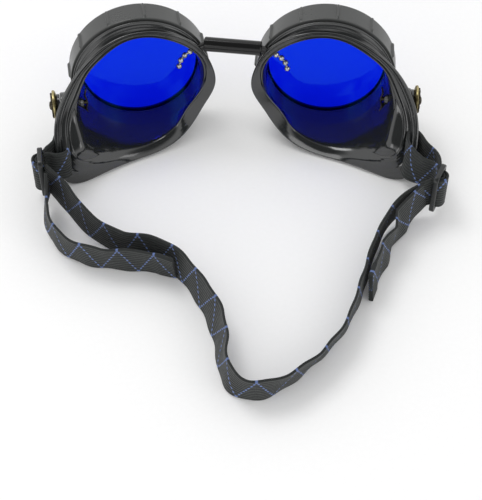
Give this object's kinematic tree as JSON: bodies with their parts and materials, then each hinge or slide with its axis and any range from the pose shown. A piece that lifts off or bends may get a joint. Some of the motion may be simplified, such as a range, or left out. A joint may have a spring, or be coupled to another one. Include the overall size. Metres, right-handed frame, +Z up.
{
  "type": "strapped goggles",
  "caption": "Round-lens goggles with moulded eye cups, screw-on lens rings, a ball-chain bridge in a tube, brass temple discs and an elastic strap with sliders.",
  "frame": {"origin": "on the table, under the middle of the goggles without their strap", "axes": "+X from the wearer's left cup to the right cup, +Y out through the lenses, +Z up"},
  "size_m": [0.161, 0.1547, 0.0573],
  "materials": {
    "moulding": "gloss",
    "ring": "satin gloss",
    "lens": "polished",
    "seal": "matte",
    "spacer": "gloss",
    "brass": "antique",
    "cog": "darkened",
    "pin": "antique",
    "chain": "polished",
    "tube": "gloss",
    "webbing": "woven",
    "slider": "gloss"
  },
  "bodies": {
    "bridge": {"bridge_tube": "tube", "bridge_chain": "chain", "strap_main": "webbing"},
    "left_cup": {"left_eye_cup": "moulding", "left_disc_spacer": "spacer", "left_split_pin": "pin", "left_chain_end": "chain", "left_strap_loop": "webbing", "left_strap_tail": "webbing"},
    "left_lens_pack": {"left_lens": "lens", "left_lens_seal": "seal"},
    "left_ring": {"left_lens_ring": "ring"},
    "left_badge": {"left_brass_disc": "brass", "left_cog": "cog"},
    "left_adjuster": {"left_slider": "slider"},
    "right_cup": {"right_eye_cup": "moulding", "right_disc_spacer": "spacer", "right_split_pin": "pin", "right_chain_end": "chain", "right_strap_loop": "webbing", "right_strap_tail": "webbing"},
    "right_lens_pack": {"right_lens": "lens", "right_lens_seal": "seal"},
    "right_ring": {"right_lens_ring": "ring"},
    "right_badge": {"right_brass_disc": "brass", "right_cog": "cog"},
    "right_adjuster": {"right_slider": "slider"}
  },
  "joints": [
    {"name": "left_fold", "type": "hinge", "parent": "bridge", "child": "left_cup", "pos_m": [-0.01044, 0.01081, 0.04444], "axis": [0, 0, 1], "range_deg": [-12, 20], "deforming": ["strap_main"]},
    {"name": "left_ring_travel", "type": "slide", "parent": "left_cup", "child": "left_lens_pack", "axis": [-0.1643, 0.9818, -0.095], "range_m": [0, 0.003]},
    {"name": "left_ring_unscrew", "type": "hinge", "parent": "left_lens_pack", "child": "left_ring", "pos_m": [-0.03895, 0.0169, 0.02832], "axis": [-0.1643, 0.9818, -0.095], "range_deg": [0, 540]},
    {"name": "left_badge_spin", "type": "hinge", "parent": "left_cup", "child": "left_badge", "pos_m": [-0.07097, -0.00261, 0.02413], "axis": [-0.9863, -0.165, 0], "continuous": true},
    {"name": "left_adjust", "type": "slide", "parent": "left_cup", "child": "left_adjuster", "axis": [-0.1305, 0.9914, 0], "range_m": [-0.01, 0.008], "deforming": ["strap_main", "left_strap_loop", "left_strap_tail"]},
    {"name": "right_fold", "type": "hinge", "parent": "bridge", "child": "right_cup", "pos_m": [0.00958, 0.00835, 0.04444], "axis": [0, 0, -1], "range_deg": [-12, 20], "deforming": ["strap_main"]},
    {"name": "right_ring_travel", "type": "slide", "parent": "right_cup", "child": "right_lens_pack", "axis": [0.0781, 0.9924, -0.095], "range_m": [0, 0.003]},
    {"name": "right_ring_unscrew", "type": "hinge", "parent": "right_lens_pack", "child": "right_ring", "pos_m": [0.03745, 0.0169, 0.02832], "axis": [0.0781, 0.9924, -0.095], "range_deg": [0, 540]},
    {"name": "right_badge_spin", "type": "hinge", "parent": "right_cup", "child": "right_badge", "pos_m": [0.07105, 0.00025, 0.02413], "axis": [0.9969, -0.0785, 0], "continuous": true},
    {"name": "right_adjust", "type": "slide", "parent": "right_cup", "child": "right_adjuster", "axis": [0.4195, 0.9078, 0], "range_m": [-0.01, 0.008], "deforming": ["strap_main", "right_strap_loop", "right_strap_tail"]}
  ],
  "couplings": [
    {"joint": "left_ring_travel", "follows": "left_ring_unscrew", "m_per_rad": 0.00031831},
    {"joint": "right_ring_travel", "follows": "right_ring_unscrew", "m_per_rad": 0.00031831}
  ]
}
